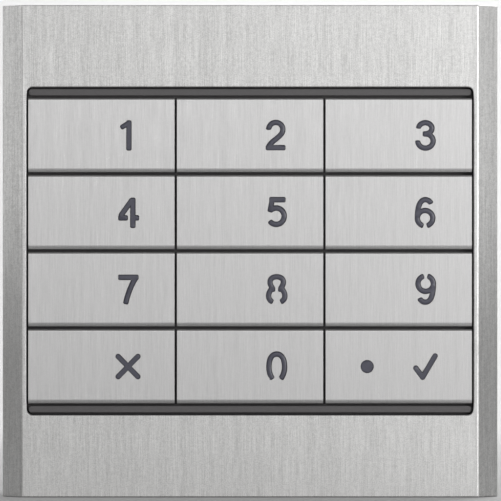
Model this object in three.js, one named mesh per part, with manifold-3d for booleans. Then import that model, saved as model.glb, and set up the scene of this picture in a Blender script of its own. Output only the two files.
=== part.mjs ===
// A keypad access reader for a modular door-entry panel.
//
// A brushed metal front plate with two bevelled sides carries twelve metal keys with stencil-cut legends.
// Each key cap is bonded to a clear light guide, which slides in the key carrier and presses a dome of the
// silicone keymat onto the board. The board and its connectors sit in the rear housing.
//
// Millimetres, +Z up. The reader faces -Y: its origin is the middle of the housing's back face.
// Depths are measured from the plate's front face towards the wall.
import * as THREE from "three";
import { mergeVertices } from "three/addons/utils/BufferGeometryUtils.js";
import Module from "manifold-3d";

const wasm = await Module();
wasm.setup();

// ---------------------------------------------------------------- driving dimensions
const WIDTH = 91;
const HEIGHT = 90.2;
const DEPTH = 25;

const BEVEL = 3.65; // width and depth of the 45 degree side bevels
const PLATE_WALL = 1.5;
const PLATE_FRONT = 1.8; // thickness of the front wall
const PLATE_DEPTH = 9; // where the plate's rear rim meets the panel frame

const WINDOW = { width: 81.9, height: 60.1, corner: 1.1 };

const COLUMNS = 3;
const ROWS = 4;
const PITCH_X = 27.25;
const PITCH_Z = 14.13;
const GRID_Z = 0.05; // the middle of the twelve keys, above the middle of the plate
const CAP = { width: 26.8, height: 13.64, sheet: 0.8, depth: 2 };
const ROLL = { depth: 0.5, top: 0.42, bottom: 0.8 }; // how far back, and how far in, the cap's edges roll
const TRAVEL = 0.8; // how far a key can be pressed

const LEGEND_X = 4.88; // middle of a legend, right of the middle of its key
const LEGEND_Z = -0.02; // and above it
const STROKE = 1; // width of a legend's strokes
const STROKE_CORNER = 0.3;
const LEGEND_GAP = 0.11; // clearance between a stencil cut and the light guide in it
const LEGEND_SUNK = 0.2; // the light guide ends this far below the cap's face
const STATUS_X = -5.78; // middle of the round status window on the confirm key
const STATUS_RADIUS = 1.21;

const STEM = { width: 22.4, height: 9.6, wall: 1.2, end: 5.3 };
const STEM_PLAY = 0.3;
const PUSHER = { radius: 2.2, end: 6 };

const STRIP = { top: 29.13, bottom: -29, height: 1.13, depth: 0.9, width: 81.1, corner: 0.45 };
const CARRIER = { front: 3.05, rear: 4.6, width: 84.6, height: 86.4 };
const BODY = { width: 82, height: 80, corner: 3 }; // skirt of the carrier, and the rear housing behind it
const SKIRT = { wall: 1.3, end: 13 };

const MAT = { front: 8.4, rear: 9.4, width: 78, height: 61 };
const DOME = { foot: 3, shoulder: 2.4, top: 2.2, cavity: 1.9, nub: 1 };
const BOARD = { front: 9.5, rear: 11.1, width: 77.6, height: 75.6 };
const HOUSING = { front: 13.1, wall: 1.8, back: 2 };
const SCREW_AT = { x: 35.2, z: 34.2 };
const SCREW = { shank: 1.4, head: 2.8, headHeight: 2.2, seat: 22, tip: 6.2 };

const SLACK = 0.1; // between a board and what stands on it
const ROUND = 12; // sides of a small round piece
const DOME_SIDES = 9;

// ---------------------------------------------------------------- materials
const finish = (color, metalness, roughness) =>
  new THREE.MeshStandardMaterial({ color, metalness, roughness });

const brushedPlate = finish(0xcfcfcf, 1, 0.38);
const brushedKey = finish(0xcac9c7, 1, 0.34);
const smokeClear = finish(0x5b5966, 0, 0.3);
const carrierGrey = finish(0x5f5d5e, 0, 0.55);
const blackRubber = finish(0x141414, 0, 0.8);
const silicone = finish(0xc9ccc8, 0, 0.6);
const boardGreen = finish(0x1f5b3a, 0, 0.5);
const housingBlack = finish(0x26272a, 0, 0.6);
const springSteel = finish(0xb9bbbd, 1, 0.3);
const chipBlack = finish(0x18191b, 0, 0.45);
const relayWhite = finish(0xd9dad6, 0, 0.4);
const capacitorMetal = finish(0xb4b6b8, 1, 0.35);
const socketWhite = finish(0xe2e0d8, 0, 0.5);
const terminalGreen = finish(0x2f8f55, 0, 0.5);
const ledWhite = finish(0xf1efe2, 0, 0.3);

// ---------------------------------------------------------------- helpers
const at = (depth) => depth - DEPTH; // a depth behind the front face, as a Y

// A closed three.js geometry as a manifold solid.
function solid(geometry) {
  const bare = geometry.index ? geometry.toNonIndexed() : geometry.clone();
  bare.deleteAttribute("normal");
  bare.deleteAttribute("uv");
  const merged = mergeVertices(bare, 1e-4);
  return new wasm.Manifold(
    new wasm.Mesh({
      numProp: 3,
      vertProperties: merged.attributes.position.array,
      triVerts: new Uint32Array(merged.index.array),
    }),
  );
}

// The other way: a manifold solid as a geometry with flat faces.
function geometryOf(made) {
  const { numProp, vertProperties, triVerts } = made.getMesh();
  const positions = new Float32Array((vertProperties.length / numProp) * 3);
  for (let i = 0; i < positions.length / 3; i++) {
    positions.set(vertProperties.subarray(i * numProp, i * numProp + 3), i * 3);
  }
  const geometry = new THREE.BufferGeometry();
  geometry.setAttribute("position", new THREE.BufferAttribute(positions, 3));
  geometry.setIndex(new THREE.BufferAttribute(triVerts, 1));
  const flat = geometry.toNonIndexed();
  flat.computeVertexNormals();
  return flat;
}

const join = (first, ...rest) => rest.reduce((sum, piece) => sum.add(piece), first);
const cut = (body, ...tools) => tools.reduce((left, tool) => left.subtract(tool), body);

// A box given by its middle, size, and the depths of its front and rear faces.
function block(x, z, width, height, front, rear) {
  const geometry = new THREE.BoxGeometry(width, rear - front, height);
  geometry.translate(x, at((front + rear) / 2), z);
  return solid(geometry);
}

// A shape drawn as (x, z), carried through the depths from front to rear.
function prism(shape, front, rear, x = 0, z = 0, curveSegments = 4) {
  const geometry = new THREE.ExtrudeGeometry(shape, {
    depth: rear - front,
    bevelEnabled: false,
    curveSegments,
  });
  geometry.rotateX(Math.PI / 2);
  geometry.translate(x, at(rear), z);
  return solid(geometry);
}

// A round bar along Y.
function disc(x, z, radius, front, rear, sides = ROUND) {
  const geometry = new THREE.CylinderGeometry(radius, radius, rear - front, sides);
  geometry.translate(x, at((front + rear) / 2), z);
  return solid(geometry);
}

// A solid of revolution about Y, its profile points (radius, depth) listed from front to rear.
function turned(profile, sides = ROUND) {
  const points = profile.map(([radius, depth]) => new THREE.Vector2(radius, at(depth)));
  return solid(new THREE.LatheGeometry(points, sides));
}

// A shape drawn as (depth, z), carried sideways through a width about X = 0.
function bar(shape, width, curveSegments = 4) {
  const geometry = new THREE.ExtrudeGeometry(shape, {
    depth: width,
    bevelEnabled: false,
    curveSegments,
  });
  geometry.translate(0, 0, -width / 2);
  geometry.applyMatrix4(
    new THREE.Matrix4().makeBasis(
      new THREE.Vector3(0, 1, 0),
      new THREE.Vector3(0, 0, 1),
      new THREE.Vector3(1, 0, 0),
    ),
  );
  geometry.translate(0, at(0), 0);
  return solid(geometry);
}

// A shape drawn as (x, depth), carried upwards through a height about Z = 0.
function column(points, height) {
  const shape = new THREE.Shape(points.map(([x, depth]) => new THREE.Vector2(x, at(depth))));
  const geometry = new THREE.ExtrudeGeometry(shape, { depth: height, bevelEnabled: false });
  geometry.translate(0, 0, -height / 2);
  return solid(geometry);
}

// The outline a wall's thickness inside another one.
const shrunk = ({ width, height }, wall, corner) => ({
  width: width - 2 * wall,
  height: height - 2 * wall,
  corner,
});

function roundedRectangle(width, height, corner) {
  const x = width / 2;
  const z = height / 2;
  const shape = new THREE.Shape();
  shape.moveTo(x, -z + corner);
  shape.absarc(x - corner, z - corner, corner, 0, Math.PI / 2);
  shape.absarc(-x + corner, z - corner, corner, Math.PI / 2, Math.PI);
  shape.absarc(-x + corner, -z + corner, corner, Math.PI, 1.5 * Math.PI);
  shape.absarc(x - corner, -z + corner, corner, 1.5 * Math.PI, 2 * Math.PI);
  return shape;
}

const part = new THREE.Group();

function add(name, made, material, parent = part) {
  const mesh = new THREE.Mesh(geometryOf(made), material);
  mesh.name = name;
  parent.add(mesh);
  return mesh;
}

// Calls make(x, z) at the four corners of a rectangle.
const atCorners = ({ x, z }, make) =>
  [[x, z], [-x, z], [-x, -z], [x, -z]].map(([cornerX, cornerZ]) => make(cornerX, cornerZ));

// ---------------------------------------------------------------- legends
// A legend is drawn about its own middle, as strokes along centrelines. The closed loops of 0, 4, 6, 8 and 9
// stay open at a bridge, as a stencil needs.
const line = (...points) => new THREE.Path(points.map(([x, z]) => new THREE.Vector2(x, z)));

// A centreline that starts at a point and goes on through cubic curves, each given by its three points.
function curve(start, ...curves) {
  const path = new THREE.Path();
  path.moveTo(...start);
  curves.forEach(([first, second, end]) => path.bezierCurveTo(...first, ...second, ...end));
  return path;
}

const degrees = THREE.MathUtils.degToRad;

function arc(x, z, radiusX, radiusZ, from, to) {
  const path = new THREE.Path();
  path.absellipse(x, z, radiusX, radiusZ, degrees(from), degrees(to), to < from);
  return path;
}

const mirrorX = ([x, z]) => [-x, z];

// A centreline that is the same left and right of the middle, given by its right half from the top down.
function symmetric(top, ...curves) {
  const right = [top, ...curves.flat()].slice(1);
  const reversed = [...right].reverse().map(mirrorX);
  const whole = [...reversed, top, ...right];
  const path = new THREE.Path();
  path.moveTo(...whole[0]);
  for (let i = 1; i < whole.length; i += 3) {
    path.bezierCurveTo(...whole[i], ...whole[i + 1], ...whole[i + 2]);
  }
  return path;
}

const sixBowl = { x: -0.055, z: -1.06, radius: 1.41 };
const sixBack = curve([1.08, 1.54], [[0.84, 2.07], [0.48, 2.33], [0.02, 2.33]],
  [[-1.06, 2.33], [-1.465, 0.9], [-1.465, -1.06]])
  .absarc(sixBowl.x, sixBowl.z, sixBowl.radius, Math.PI, degrees(258));
const sixLoop = arc(sixBowl.x, sixBowl.z, sixBowl.radius, sixBowl.radius, 165, -78);
const sixStrokes = (turn) => [{ path: turn(sixBack) }, { path: turn(sixLoop), joined: ["start"] }];

const asDrawn = (path) => path;

// A centreline turned half a turn about the legend's middle: a 9 is a 6 upside down.
function halfTurn(path) {
  const turned = path.getPoints(CURVE_STEPS).map((point) => new THREE.Vector2(-point.x, -point.y));
  return new THREE.Path(turned);
}

const CURVE_STEPS = 7; // steps of each curved piece of a centreline

// A stroke's joined ends run into another stroke.
const LEGENDS = {
  1: [
    { path: line([0.16, 2.75], [0.16, -2.8]) },
    { path: line([0.18, 2.3], [-1.36, 1.33]), width: 0.9, joined: ["start"] },
  ],
  2: [
    { path: arc(-0.17, 1.06, 1.3, 1.3, 184, 0).bezierCurveTo(1.13, -0.37, -1.25, -0.92, -1.56, -2.38),
      joined: ["end"] },
    { path: line([-2.02, -2.26], [1.63, -2.26]) },
  ],
  3: [
    { path: arc(-0.01, 1.28, 1.22, 1.03, 184, -95), joined: ["end"] },
    { path: arc(0.02, -1.05, 1.41, 1.3, 95, -186), joined: ["start"] },
    { path: line([-0.5, 0.26], [0.37, 0.26]), joined: ["end"] },
  ],
  4: [
    { path: line([0.88, 2.71], [0.88, -2.88]) },
    { path: line([0.77, 2.33], [-1.45, -0.77]), joined: ["start"] },
    { path: line([-1.83, -1.01], [-0.02, -1.01]) },
    { path: line([0.88, -1.01], [2.05, -1.01]), joined: ["start"] },
  ],
  5: [
    { path: line([-1.39, 2.33], [1.63, 2.33]) },
    { path: line([-0.79, 2.6], [-1.24, 0.05]), joined: ["start"] },
    { path: arc(-0.09, -0.7, 1.46, 1.51, 146, -147) },
  ],
  6: sixStrokes(asDrawn),
  7: [
    { path: line([-1.83, 2.22], [1.94, 2.22]) },
    { path: curve([1.47, 2.22], [[0.68, 1.01], [-0.04, -0.64], [-0.46, -2.7]]), joined: ["start"] },
  ],
  8: [
    { path: symmetric([0, 2.33],
      [[0.74, 2.33], [1.22, 1.96], [1.22, 1.34]],
      [[1.22, 0.86], [0.95, 0.52], [0.74, 0.16]]), joined: ["start", "end"] },
    ...[1, -1].flatMap((side) => [
      { path: line([0.7 * side, 0.5], [0.7 * side, -0.45]), width: 0.88 },
      { path: curve([0.72 * side, 0.42],
        [[0.98 * side, 0.02], [1.49 * side, -0.42], [1.49 * side, -1.19]],
        [[1.49 * side, -1.74], [1.2 * side, -2.07], [0.67 * side, -2.33]]), joined: ["start"] },
    ]),
  ],
  9: sixStrokes(halfTurn),
  0: [
    { path: symmetric([0, 2.29],
      [[0.92, 2.29], [1.43, 1.34], [1.43, 0]],
      [[1.43, -0.95], [1.2, -1.69], [0.7, -2.29]]) },
  ],
  cancel: [
    { path: line([-1.81, 1.85], [1.81, -1.85]), roundEnds: true },
    { path: line([-1.81, -1.85], [1.81, 1.85]), roundEnds: true },
  ],
  confirm: [
    { path: line([-1.74, -0.28], [-0.5, -1.96]), roundEnds: true },
    { path: line([-0.5, -1.96], [1.78, 1.94]), roundEnds: true },
  ],
};

// The outline of a stroke: its centreline moved half a width to either side, with square ends.
function strokeOutline(centreline, halfWidth) {
  const sides = [[], []];
  centreline.forEach((point, i) => {
    const before = centreline[Math.max(i - 1, 0)];
    const after = centreline[Math.min(i + 1, centreline.length - 1)];
    const along = new THREE.Vector2().subVectors(after, before).normalize();
    const across = new THREE.Vector2(-along.y, along.x);
    sides[0].push(point.clone().addScaledVector(across, halfWidth));
    sides[1].push(point.clone().addScaledVector(across, -halfWidth));
  });
  return [...sides[1], ...sides[0].reverse()];
}

// The same outline with each sharp corner replaced by a few points of a round one, save those to be kept.
function softened(points, radius, steps, kept) {
  const sharp = degrees(50);
  return points.flatMap((point, i) => {
    if (kept.includes(i)) return [point];
    const before = points[(i + points.length - 1) % points.length];
    const after = points[(i + 1) % points.length];
    const inward = new THREE.Vector2().subVectors(point, before);
    const outward = new THREE.Vector2().subVectors(after, point);
    const turn = inward.angleTo(outward);
    if (turn < sharp) return [point];
    const room = 0.49 * Math.min(inward.length(), outward.length());
    const back = Math.min(radius * Math.tan(turn / 2), room);
    const corner = new THREE.QuadraticBezierCurve(
      point.clone().addScaledVector(inward.normalize(), -back),
      point,
      point.clone().addScaledVector(outward.normalize(), back),
    );
    return corner.getPoints(steps);
  });
}

// A legend as a solid between two depths, its strokes grown or shrunk on every side.
function legendSolid(name, growth, front, rear) {
  const strokes = LEGENDS[name].map(({ path, roundEnds, joined = [], width = STROKE }) => {
    const half = width / 2 + growth;
    // Points close to an end are left out, so that its corners have room to be rounded.
    const inner = ([start, ...rest]) => rest.slice(0, -1).filter((point) =>
      Math.min(point.distanceTo(start), point.distanceTo(rest.at(-1))) > STROKE_CORNER);
    const drawn = path.getPoints(CURVE_STEPS);
    const apart = (point, i, all) => i === 0 || point.distanceTo(all[i - 1]) > 0.01;
    const points = [drawn[0], ...inner(drawn), drawn.at(-1)].filter(apart);
    const first = new THREE.Vector2().subVectors(points[0], points[1]).normalize();
    const last = new THREE.Vector2().subVectors(points.at(-1), points.at(-2)).normalize();
    const reach = (end) => (joined.includes(end) ? 0 : roundEnds ? half : growth);
    points[0].addScaledVector(first, reach("start"));
    points.at(-1).addScaledVector(last, reach("end"));
    const corner = roundEnds ? half : STROKE_CORNER + growth;
    const endCorners = { start: [0, 2 * points.length - 1], end: [points.length - 1, points.length] };
    const kept = joined.flatMap((end) => endCorners[end]);
    const edge = softened(strokeOutline(points, half), corner, roundEnds ? 4 : 2, kept);
    return prism(new THREE.Shape(edge), front, rear, LEGEND_X, LEGEND_Z);
  });
  if (name !== "confirm") return join(...strokes);
  return join(...strokes, disc(STATUS_X, LEGEND_Z, STATUS_RADIUS + growth, front, rear, 24));
}

// ---------------------------------------------------------------- front plate
function frontPlate() {
  // A hat section: sides, 45 degree bevels and a flat front.
  const hat = (halfWidth, rear, bevelEnd, front) => {
    const halfFlat = halfWidth - (bevelEnd - front);
    const left = [[-halfWidth, rear], [-halfWidth, bevelEnd], [-halfFlat, front]];
    return [...left, ...[...left].reverse().map(([x, depth]) => [-x, depth])];
  };
  const outside = column(hat(WIDTH / 2, PLATE_DEPTH, BEVEL, 0), HEIGHT);
  const innerBevel = BEVEL + PLATE_WALL * Math.tan(Math.PI / 8);
  const inside = column(
    hat(WIDTH / 2 - PLATE_WALL, PLATE_DEPTH + 1, innerBevel, PLATE_FRONT),
    HEIGHT - 2 * PLATE_WALL,
  );
  const opening = roundedRectangle(WINDOW.width, WINDOW.height, WINDOW.corner);
  const window = prism(opening, -1, PLATE_FRONT + 1, 0, 0, 5);
  // Four snap ribs hold the carrier's flange against the window gasket.
  const rib = { width: 10, height: 1.2, front: CARRIER.rear + 0.25, rear: CARRIER.rear + 1.25 };
  const ribZ = HEIGHT / 2 - PLATE_WALL - rib.height / 2 + 0.2;
  const ribs = atCorners({ x: 25, z: ribZ }, (x, z) =>
    block(x, z, rib.width, rib.height, rib.front, rib.rear),
  );
  return join(cut(outside, inside, window), ...ribs);
}

add("front_plate", frontPlate(), brushedPlate);

// A ring between two rounded rectangles.
function ring(outer, inner, front, rear) {
  return cut(
    prism(roundedRectangle(outer.width, outer.height, outer.corner), front, rear),
    prism(roundedRectangle(inner.width, inner.height, inner.corner), front - 1, rear + 1),
  );
}

const gasketOuter = { width: WINDOW.width + 0.9, height: WINDOW.height + 4.3, corner: 2 };
const gasketInner = { width: WINDOW.width - 0.2, height: WINDOW.height - 0.2, corner: 1 };
add("window_gasket", ring(gasketOuter, gasketInner, PLATE_FRONT + 0.05, CARRIER.front - 0.1), blackRubber);

const sealOuter = { width: 87.4, height: 86.6, corner: 1 };
const sealInner = { width: BODY.width + 0.5, height: BODY.height + 0.5, corner: BODY.corner };
add("frame_seal", ring(sealOuter, sealInner, PLATE_DEPTH - 1.4, PLATE_DEPTH + 0.6), blackRubber);

// ---------------------------------------------------------------- key carrier
const keyMiddles = [];
for (let row = 0; row < ROWS; row++) {
  for (let file = 0; file < COLUMNS; file++) {
    keyMiddles.push({
      x: (file - (COLUMNS - 1) / 2) * PITCH_X,
      z: GRID_Z + ((ROWS - 1) / 2 - row) * PITCH_Z,
    });
  }
}

function keyCarrier() {
  const plate = block(0, 0, CARRIER.width, CARRIER.height, CARRIER.front, CARRIER.rear);
  const stripShape = roundedRectangle(STRIP.width, STRIP.height, STRIP.corner);
  const strips = [STRIP.top, STRIP.bottom].map((z) =>
    prism(stripShape, STRIP.depth, CARRIER.front + 0.2, 0, z),
  );
  const opening = { width: STEM.width + 2 * STEM_PLAY, height: STEM.height + 2 * STEM_PLAY };
  const openings = keyMiddles.map(({ x, z }) =>
    block(x, z, opening.width, opening.height, CARRIER.front - 1, CARRIER.rear + 1),
  );
  const inner = shrunk(BODY, SKIRT.wall, 1.6);
  const skirt = ring(BODY, inner, CARRIER.rear - 0.2, SKIRT.end);
  const bosses = atCorners(SCREW_AT, (x, z) => disc(x, z, 3.2, CARRIER.rear - 0.2, BOARD.front - SLACK));
  const holes = atCorners(SCREW_AT, (x, z) =>
    disc(x, z, SCREW.shank + SLACK, CARRIER.rear + 1, BOARD.front + 1),
  );
  // Ribs between the rows hold the keymat down.
  const ribs = [1, 0, -1].map((row) =>
    block(0, GRID_Z + row * PITCH_Z, inner.width + 0.4, 1.4, CARRIER.rear - 0.2, MAT.front - SLACK),
  );
  return cut(join(plate, skirt, ...strips, ...bosses, ...ribs), ...openings, ...holes);
}

add("key_carrier", keyCarrier(), carrierGrey);

// ---------------------------------------------------------------- keys
// The cap is a sheet whose top and bottom edges are rolled back, the top edge tightly and the bottom one
// more gently. Each roll is a quarter of an ellipse.
function capBlank() {
  const z = CAP.height / 2;
  const { depth, sheet } = CAP;
  const fillet = 0.12;
  const shape = new THREE.Shape();
  shape.moveTo(depth, z);
  shape.lineTo(depth, z - sheet);
  shape.lineTo(sheet + fillet, z - sheet);
  shape.lineTo(sheet, z - sheet - fillet);
  shape.lineTo(sheet, -z + sheet + fillet);
  shape.lineTo(sheet + fillet, -z + sheet);
  shape.lineTo(depth, -z + sheet);
  shape.lineTo(depth, -z);
  shape.lineTo(ROLL.depth, -z);
  shape.absellipse(ROLL.depth, -z + ROLL.bottom, ROLL.depth, ROLL.bottom, 1.5 * Math.PI, Math.PI, true);
  shape.lineTo(0, z - ROLL.top);
  shape.absellipse(ROLL.depth, z - ROLL.top, ROLL.depth, ROLL.top, Math.PI, 0.5 * Math.PI, true);
  return bar(shape, CAP.width, 3);
}

// The light guide: a plate inside the cap with a raised legend, a hollow stem with two snap hooks,
// and a pusher.
function guideBlank() {
  const plateRear = 1.9;
  const plateHeight = CAP.height - 2 * CAP.sheet - 0.5;
  const plate = block(0, 0, CAP.width - 0.4, plateHeight, CAP.sheet + 0.05, plateRear);
  const stem = block(0, 0, STEM.width, STEM.height, plateRear - 0.2, STEM.end);
  const inside = shrunk(STEM, STEM.wall, 0);
  const hollow = block(0, 0, inside.width, inside.height, plateRear, STEM.end + 1);
  const pusher = disc(0, 0, PUSHER.radius, plateRear - 0.2, PUSHER.end);
  const hookFront = CARRIER.rear + 0.15;
  const hook = { root: 0.2, reach: 0.75, height: 3.6 };
  const hookX = (STEM.width + hook.reach - hook.root) / 2;
  const hooks = [1, -1].map((side) =>
    block(side * hookX, 0, hook.root + hook.reach, hook.height, hookFront, STEM.end),
  );
  return join(cut(join(plate, stem), hollow), pusher, ...hooks);
}

const cap = capBlank();
const guide = guideBlank();
const KEY_NAMES = ["1", "2", "3", "4", "5", "6", "7", "8", "9", "cancel", "0", "confirm"];

KEY_NAMES.forEach((name, i) => {
  const key = new THREE.Group();
  key.position.set(keyMiddles[i].x, 0, keyMiddles[i].z);
  add(`key_cap_${name}`, cut(cap, legendSolid(name, 0, -1, CAP.sheet + 1)), brushedKey, key);
  const raised = legendSolid(name, -LEGEND_GAP, LEGEND_SUNK, CAP.sheet + 0.2);
  add(`key_guide_${name}`, join(guide, raised), smokeClear, key);
  part.add(key);
});

// ---------------------------------------------------------------- keymat
function dome(x, z) {
  const top = PUSHER.end + 0.05;
  const shoulder = MAT.front - 1.1;
  const outside = turned([
    [0, top], [DOME.top, top], [DOME.shoulder, shoulder],
    [DOME.foot, MAT.front], [DOME.foot, MAT.rear], [0, MAT.rear],
  ], DOME_SIDES);
  const roof = shoulder + 0.15;
  const past = MAT.rear + 1;
  const contact = BOARD.front - TRAVEL;
  const inner = DOME.foot - 0.6;
  const cavity = turned([
    [0, contact], [DOME.nub, contact], [DOME.nub, roof], [DOME.cavity, roof],
    [inner, MAT.front], [inner, past], [0, past],
  ], DOME_SIDES);
  return { outside: outside.translate([x, 0, z]), cavity: cavity.translate([x, 0, z]) };
}

const LED = { width: 2.4, height: 2, front: 8.75 };
const ledPlaces = KEY_NAMES.map((name, i) => ({
  name: `led_${name}`,
  x: keyMiddles[i].x + LEGEND_X,
  z: keyMiddles[i].z,
}));
ledPlaces.push({ name: "led_status", x: keyMiddles.at(-1).x + STATUS_X, z: keyMiddles.at(-1).z });

function keymat() {
  const sheet = prism(roundedRectangle(MAT.width, MAT.height, 2), MAT.front, MAT.rear);
  const domes = keyMiddles.map(({ x, z }) => dome(x, z));
  const lights = ledPlaces.map(({ x, z }) =>
    block(x, z, LED.width + 0.5, LED.height + 0.6, MAT.front - 1, MAT.rear + 1),
  );
  return cut(join(sheet, ...domes.map((d) => d.outside)), ...domes.map((d) => d.cavity), ...lights);
}

add("silicone_keymat", keymat(), silicone);

// ---------------------------------------------------------------- board and what it carries
const boardHoles = atCorners(SCREW_AT, (x, z) => disc(x, z, 1.7, BOARD.front - 1, BOARD.rear + 1));
add(
  "keypad_board",
  cut(block(0, 0, BOARD.width, BOARD.height, BOARD.front, BOARD.rear), ...boardHoles),
  boardGreen,
);

ledPlaces.forEach(({ name, x, z }) => {
  const led = add(name, block(0, 0, LED.width, LED.height, LED.front, BOARD.front - 0.05), ledWhite);
  led.position.set(x, 0, z);
});

const ON_BOARD = BOARD.rear + SLACK; // depth of the feet of everything on the board's back
const BACK = DEPTH; // depth of the housing's back face

// A round can along Y with its rim turned in a little at the far end.
function can(x, z, radius, length, rim) {
  const profile = [
    [0, ON_BOARD], [radius, ON_BOARD], [radius, ON_BOARD + length - rim],
    [radius - rim, ON_BOARD + length], [0, ON_BOARD + length],
  ];
  return turned(profile, 20).translate([x, 0, z]);
}

// A chip whose back edges are chamfered, as a moulded package is.
function chip(x, z, size, height, chamfer) {
  const half = size / 2;
  const front = ON_BOARD;
  const rear = ON_BOARD + height;
  const profile = column(
    [[-half, front], [half, front], [half, rear - chamfer], [half - chamfer, rear], [-half + chamfer, rear],
      [-half, rear - chamfer]],
    size,
  );
  return profile.translate([x, 0, z]);
}

add("microcontroller", chip(8, -8, 10, 1.5, 0.3), chipBlack);
add("relay", block(-7, 8, 10, 20, ON_BOARD, ON_BOARD + 10.2), relayWhite);
const soundHole = disc(9.5, 9.5, 1.1, ON_BOARD + 3, ON_BOARD + 8);
add("buzzer", cut(can(9.5, 9.5, 6, 6.5, 0.4), soundHole), chipBlack);
add("capacitor", can(-8, -10, 4, 7.7, 0.5), capacitorMetal);

// A shrouded header for the flat lead to the next module, with a keying notch in one long wall.
const BUS = { width: 20, height: 8, wall: 1.2, depth: 8.5, z: 27, rear: BACK - 0.4 };
function busSocket() {
  const shroud = block(0, 0, BUS.width, BUS.height, ON_BOARD, BUS.rear);
  const inside = shrunk(BUS, BUS.wall, 0);
  const cavity = block(0, 0, inside.width, inside.height, BUS.rear - BUS.depth, BUS.rear + 1);
  const notch = block(0, BUS.height / 2, 4.5, 3, BUS.rear - 5, BUS.rear + 1);
  return cut(shroud, cavity, notch);
}
add("bus_socket_in", busSocket(), socketWhite).position.z = BUS.z;
add("bus_socket_out", busSocket(), socketWhite).position.z = -BUS.z;

const TERMINAL = { x: -25, ways: 8, pitch: 3.81, width: 11.6, seat: 19 };
const TERMINAL_LENGTH = TERMINAL.ways * TERMINAL.pitch + 1;
const tongue = { width: 6.2, length: TERMINAL_LENGTH - 1.6, front: 13.3 };
function terminalHeader() {
  const shroud = block(0, 0, 9.4, TERMINAL_LENGTH + 1, ON_BOARD, TERMINAL.seat);
  const cavity = block(
    0, 0, tongue.width + 0.4, tongue.length + 0.4, tongue.front - SLACK, TERMINAL.seat + 1,
  );
  return cut(shroud, cavity);
}

// Each way has a round wire entry and a square opening for its release lever.
function terminalPlug() {
  const head = block(0, 0, TERMINAL.width, TERMINAL_LENGTH, TERMINAL.seat + SLACK, BACK - 0.3);
  const foot = block(0, 0, tongue.width, tongue.length, tongue.front, TERMINAL.seat + 0.5);
  const entries = [];
  for (let way = 0; way < TERMINAL.ways; way++) {
    const z = (way - (TERMINAL.ways - 1) / 2) * TERMINAL.pitch;
    entries.push(disc(-2.4, z, 1.25, BACK - 5, BACK + 1, 10));
    entries.push(block(2.9, z, 2.4, 2.2, BACK - 3, BACK + 1));
  }
  return cut(join(head, foot), ...entries);
}
add("terminal_header", terminalHeader(), terminalGreen).position.x = TERMINAL.x;
add("terminal_plug", terminalPlug(), terminalGreen).position.x = TERMINAL.x;

// Two rows of small sockets that take the setting pegs.
const SETUP = { x: 26, z: 7, width: 7.6, length: 22.4, rows: 6, pitch: 3.5 };
function setupSocket() {
  const body = block(0, 0, SETUP.width, SETUP.length, ON_BOARD, BACK - 0.4);
  const holes = [];
  for (let row = 0; row < SETUP.rows; row++) {
    const z = (row - (SETUP.rows - 1) / 2) * SETUP.pitch;
    [-1.7, 1.7].forEach((x) => holes.push(block(x, z, 1.5, 1.5, BACK - 4, BACK + 1)));
  }
  return cut(body, ...holes);
}
add("setup_socket", setupSocket(), socketWhite).position.set(SETUP.x, 0, SETUP.z);

// A small metal-shelled port for setting the reader up from a computer.
const PORT = { x: 26, z: -17, width: 8.8, height: 4, wall: 0.5, rear: BACK - 0.5 };
function servicePort() {
  const inside = shrunk(PORT, PORT.wall, 0);
  return cut(
    block(0, 0, PORT.width, PORT.height, ON_BOARD, PORT.rear),
    block(0, 0, inside.width, inside.height, PORT.rear - 6, PORT.rear + 1),
  );
}
add("service_port", servicePort(), springSteel).position.set(PORT.x, 0, PORT.z);

// ---------------------------------------------------------------- rear housing
const CLIP = { height: 16, sheet: 0.6, pocket: 0.9, lead: 16.6, foot: 19.5, end: 24 };
const LABEL = { width: 26, height: 12, z: -13, sunk: 0.3 }; // shallow pocket for a rating label

function rearHousing() {
  const shell = prism(roundedRectangle(BODY.width, BODY.height, BODY.corner), HOUSING.front, BACK);
  const room = shrunk(BODY, HOUSING.wall, 1.4);
  const hollow = prism(
    roundedRectangle(room.width, room.height, room.corner), HOUSING.front - 1, BACK - HOUSING.back,
  );
  // A tongue inside the carrier's skirt locates the housing.
  const lipOuter = shrunk(BODY, SKIRT.wall + 0.2, 1.4);
  const lip = ring(lipOuter, shrunk(lipOuter, 1.2, 1), HOUSING.front - 1.2, HOUSING.front + 1.5);
  const bosses = atCorners(SCREW_AT, (x, z) => disc(x, z, 3.4, ON_BOARD + 0.05, BACK - 1));
  const bores = atCorners(SCREW_AT, (x, z) => disc(x, z, 1.7, ON_BOARD - 1, BACK + 1));
  const counterbores = atCorners(SCREW_AT, (x, z) => disc(x, z, 3.1, SCREW.seat, BACK + 1, 16));
  const past = BACK + 1;
  const openings = [
    [0, BUS.z, BUS.width, BUS.height],
    [0, -BUS.z, BUS.width, BUS.height],
    [TERMINAL.x, 0, TERMINAL.width, TERMINAL_LENGTH],
    [SETUP.x, SETUP.z, SETUP.width, SETUP.length],
    [PORT.x, PORT.z, PORT.width, PORT.height],
  ].map(([x, z, width, height]) => block(x, z, width + 0.8, height + 0.8, BACK - 4, past));
  const labelPocket = block(0, LABEL.z, LABEL.width, LABEL.height, BACK - LABEL.sunk, past);
  const clipPockets = [1, -1].map((side) =>
    block(side * BODY.width / 2, 0, 2 * CLIP.pocket, CLIP.height + 0.6, CLIP.lead, CLIP.end + 0.3),
  );
  const tools = [...bores, ...counterbores, ...openings, labelPocket, ...clipPockets];
  return cut(join(cut(shell, hollow), lip, ...bosses), ...tools);
}

add("rear_housing", rearHousing(), housingBlack);

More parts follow.
